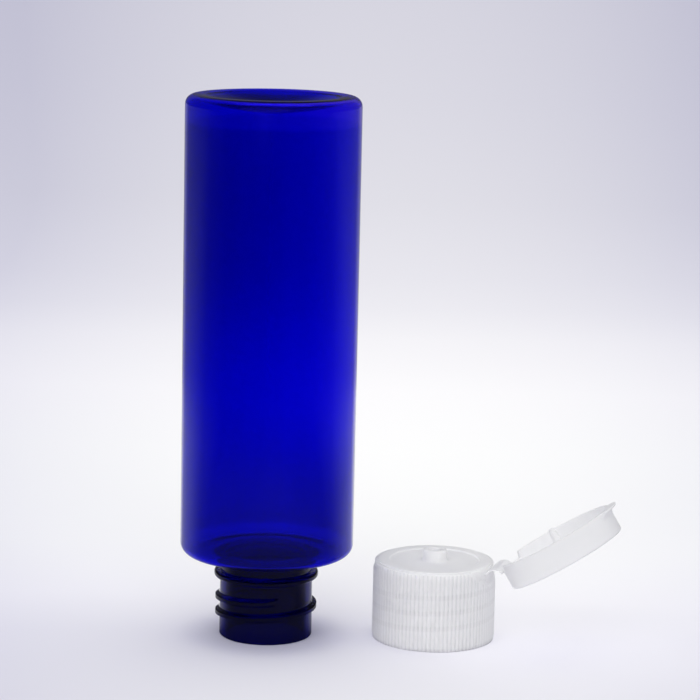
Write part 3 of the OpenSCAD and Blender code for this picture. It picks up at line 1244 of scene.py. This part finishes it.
@dataclass(frozen=True)
class Studio:
    """Paper sweep, lamps, sky and camera. Lengths in metres, angles in degrees.

    Attributes:
        target: Point that the camera looks at, from the given distance.
        pitch: How far the camera looks down.
        roll: How far it is turned about its line of sight.
        lens: Focal length and width of the sensor, in mm.
        clip: Nearest and farthest distance that it sees.
        eye_y: How far it is in front of the object.
        painted_light_tones: Colours of the paper by depth, which is y / (y + eye_y) for a point y
            behind the object. They are painted light: brightest just behind the object, greying
            towards the front and the far back.
        least_reach: Least value that y + eye_y counts as.
        middle_x: Where the paper is brightest.
        falloff: Share of light lost to the sides near and far, which part over the depths
            falloff_depth, per square of (x - middle_x) / (y + eye_y).
        falloff_most: Most of that loss.
        fall_tint: Shares of it in red, green and blue.
        ambient: Light of the sky on paper that faces up.
        sky: Colour of the sky to the eye.
        shine: Pairs of heading, from -1 in front of the object to 1 behind it, and brightness
            of paper and sky there in reflections.
        shine_gain: How many times brighter the paper is there next to the object, a gain that
            ends between the distances gain_reach.
        shine_near: Least brightness of the paper there, which ends between near_reach.
        shine_sky: Share of the brightness in reflections that the sky has.
    """

    target: Triple = (0.02135, 0.0, 0.0785)
    distance: float = 0.7165
    pitch: float = 10.12
    roll: float = 1.243
    lens: Pair = (138.2, 36.0)
    clip: Pair = (0.05, 50.0)
    floor_r: float = 9.0
    floor_sides: int = 64
    eye_y: float = 0.705
    painted_light_tones: tuple[tuple[float, str], ...] = (
        (-0.10, "#edecf1"), (0.00, "#f3f2f7"), (0.05, "#fbfafd"), (0.12, "#fdfdfd"),
        (0.17, "#fdfdfd"), (0.25, "#fdfdfd"), (0.33, "#fbfafc"), (0.40, "#f3f2f6"),
        (0.44, "#ebeaf0"), (0.48, "#e6e5ec"), (0.58, "#dedde5"), (0.71, "#d8d7e1"),
        (0.84, "#d4d3de"))
    least_reach: float = 0.4
    middle_x: float = 0.035
    falloff: Pair = (7.0, 12.5)
    falloff_depth: Pair = (0.35, 0.6)
    falloff_most: float = 0.2
    fall_tint: Triple = (1.0, 1.0, 0.62)
    ambient: float = 0.52
    sky: str = "#d7d6e1"
    shine: Pairs = (
        (-1.0, 0.0), (-0.5, 0.01), (0.0, 0.07), (0.4, 0.19), (0.8, 0.24), (0.9, 0.6),
        (1.0, 0.6))
    shine_gain: float = 2.3
    gain_reach: Pair = (0.25, 0.42)
    shine_near: float = 0.11
    near_reach: Pair = (0.08, 0.4)
    shine_sky: float = 0.22
    lamps: tuple[SoftLight, ...] = (
        SoftLight("front_light", -10.0, 30.0, 0.3, 60.0),
        SoftLight("top_light", 180.0, 82.0, 0.36, 50.0))

    def camera(self) -> None:
        """Adds the camera: it looks along +Y, pitched down and rolled a little."""
        (down_c, down_s), (roll_c, roll_s) = cos_sin(self.pitch), cos_sin(self.roll)
        ahead = Vector((0.0, down_c, -down_s))
        right = Vector((1.0, 0.0, 0.0))
        up = right.cross(ahead)
        rolled_right, rolled_up = right * roll_c + up * roll_s, up * roll_c - right * roll_s
        data = bpy.data.cameras.new("camera")
        data.lens, data.sensor_width = self.lens
        data.clip_start, data.clip_end = self.clip
        basis = Matrix((rolled_right, rolled_up, -ahead)).transposed().to_4x4()
        basis.translation = Vector(self.target) - ahead * self.distance
        camera = add_object("camera", data)
        camera.matrix_world = basis
        bpy.context.scene.camera = camera

    def paper(self) -> Material:
        """Makes the sweep's material: matt paper with painted light, which greys with depth and
        to the sides.

        In reflections its colour is also taken times the shine curve at the point's heading,
        which is shine_gain times brighter close by and never under shine_near there.

        Returns:
            The material.
        """
        material, add, place = new_material("studio_paper")
        x, y, _ = add("ShaderNodeSeparateXYZ", (place,)).outputs
        reach = add(MATH, (y, self.eye_y), "ADD")
        reach = add(MATH, (reach, self.least_reach), "MAXIMUM")
        depth = add(MATH, (y, reach), "DIVIDE")
        # Painted light: the paper's colour is brightest just behind the object and greys towards
        # the front and the far back.
        first = self.painted_light_tones[0][0]
        past = add(MATH, (depth, first), "SUBTRACT")
        tone = add("ShaderNodeValToRGB", (past,), stops=[
            (at - first, linear(tone)) for at, tone in self.painted_light_tones])
        # Painted falloff of light towards the sides.
        side = add(MATH, (x, self.middle_x), "SUBTRACT")
        side = add(MATH, (side, reach), "DIVIDE")
        loss = add(MATH, (side, side), "MULTIPLY")
        loss = add(MATH, (loss, add(**RISE, inputs=(
            depth, *self.falloff_depth, *self.falloff))), "MULTIPLY")
        loss = add(MATH, (loss, self.falloff_most), "MINIMUM")
        kept = add(VECTOR, (loss, tuple(-c for c in self.fall_tint), (1.0, 1.0, 1.0)),
                   "MULTIPLY_ADD")
        away = add(VECTOR, (place,), "LENGTH").outputs["Value"]
        heading = add(MATH, (y, away), "DIVIDE")
        gain = add(**RISE, inputs=(away, *self.gain_reach, self.shine_gain, 1.0))
        mirrored = add(MATH, (curve(add, heading, self.shine), gain), "MULTIPLY",
                       use_clamp=True)
        near = add(**RISE, inputs=(away, *self.near_reach, self.shine_near, 0.0))
        mirrored = add(MATH, (mirrored, near), "MAXIMUM")
        seen = blend_values(add, mirror_ray(add), 1.0, mirrored)
        lit = add(VECTOR, (tone, kept), "MULTIPLY")
        colour = add(VECTOR, {0: lit, "Scale": seen}, "SCALE")
        add("ShaderNodeOutputMaterial", {
            "Surface": add("ShaderNodeBsdfDiffuse", {"Color": colour})})
        return material

    def floor(self) -> None:
        """Adds the floor, a wide disc of the paper."""
        rim = polar(self.floor_r, angles(self.floor_sides), 0.0)
        mesh = bpy.data.meshes.new("floor")
        mesh.from_pydata(rim.tolist(), [], [list(range(len(rim)))])
        mesh.materials.append(self.paper())
        add_object("floor", mesh)

    def world(self) -> None:
        """Sets the sky: pale to the eye, dim as a light, and dark in front in reflections."""
        world = bpy.data.worlds.new("sky")
        world.use_nodes = True
        world.node_tree.nodes.clear()
        add = partial(add_node, world.node_tree)
        around = add("ShaderNodeTexCoord").outputs["Generated"]
        _, heading, _ = add("ShaderNodeSeparateXYZ", (around,)).outputs
        path = add("ShaderNodeLightPath").outputs
        mirrored = add(MATH, (curve(add, heading, self.shine), self.shine_sky), "MULTIPLY")
        seen = blend_values(add, mirror_ray(add), 1.0, mirrored)
        bent = add(MATH, (path["Is Glossy Ray"], path["Is Transmission Ray"]), "MAXIMUM")
        direct = add(MATH, (path["Is Camera Ray"], bent), "MAXIMUM")
        scattered = add(MATH, (path["Diffuse Depth"], 1.0), "MINIMUM")
        scattered = add(MATH, (1.0, scattered), "SUBTRACT")
        direct = add(MATH, (direct, scattered), "MULTIPLY")
        strength = blend_values(add, direct, self.ambient, seen)
        tint = add("ShaderNodeMix", {0: direct, 6: linear("#ffffff"), 7: linear(self.sky)},
                   data_type="RGBA")
        back = add("ShaderNodeBackground", {"Color": tint.outputs[2], "Strength": strength})
        add("ShaderNodeOutputWorld", {"Surface": back})
        bpy.context.scene.world = world

    def build(self) -> None:
        """Adds everything."""
        self.camera()
        self.floor()
        self.world()
        for lamp in self.lamps:
            lamp.build()


def main() -> None:
    """Builds the studio, then each sub-assembly in order."""
    logging.basicConfig(level=logging.INFO, format="%(name)s: %(message)s")
    bpy.context.scene.view_settings.view_transform = "Standard"
    Studio().build()
    place = CapPlace()
    cap_body = CapBody(place)
    pet, milky = BlownPet().build(), NaturalPolypropylene().build()
    # The cap body's finish paints shade over its thread's tooth and in its rib grooves.
    shaded_over_thread = NaturalPolypropylene(
        "natural_polypropylene_painted_shade", tooth=cap_body.thread,
        axis=(place.x, place.y, place.turn), ribs=cap_body.ribs,
        rib_r=cap_body.crest_r - cap_body.rib_depth).build()
    plan = [(Bottle(), pet), (cap_body, shaded_over_thread), (Lid(place), milky),
            (HingeStrap(place), milky)]
    for assembly, finish in plan:
        piece = assembly.build(finish)
        LOG.info("%s: %d faces", piece.name, len(piece.data.polygons))


if __name__ == "__main__":
    main()
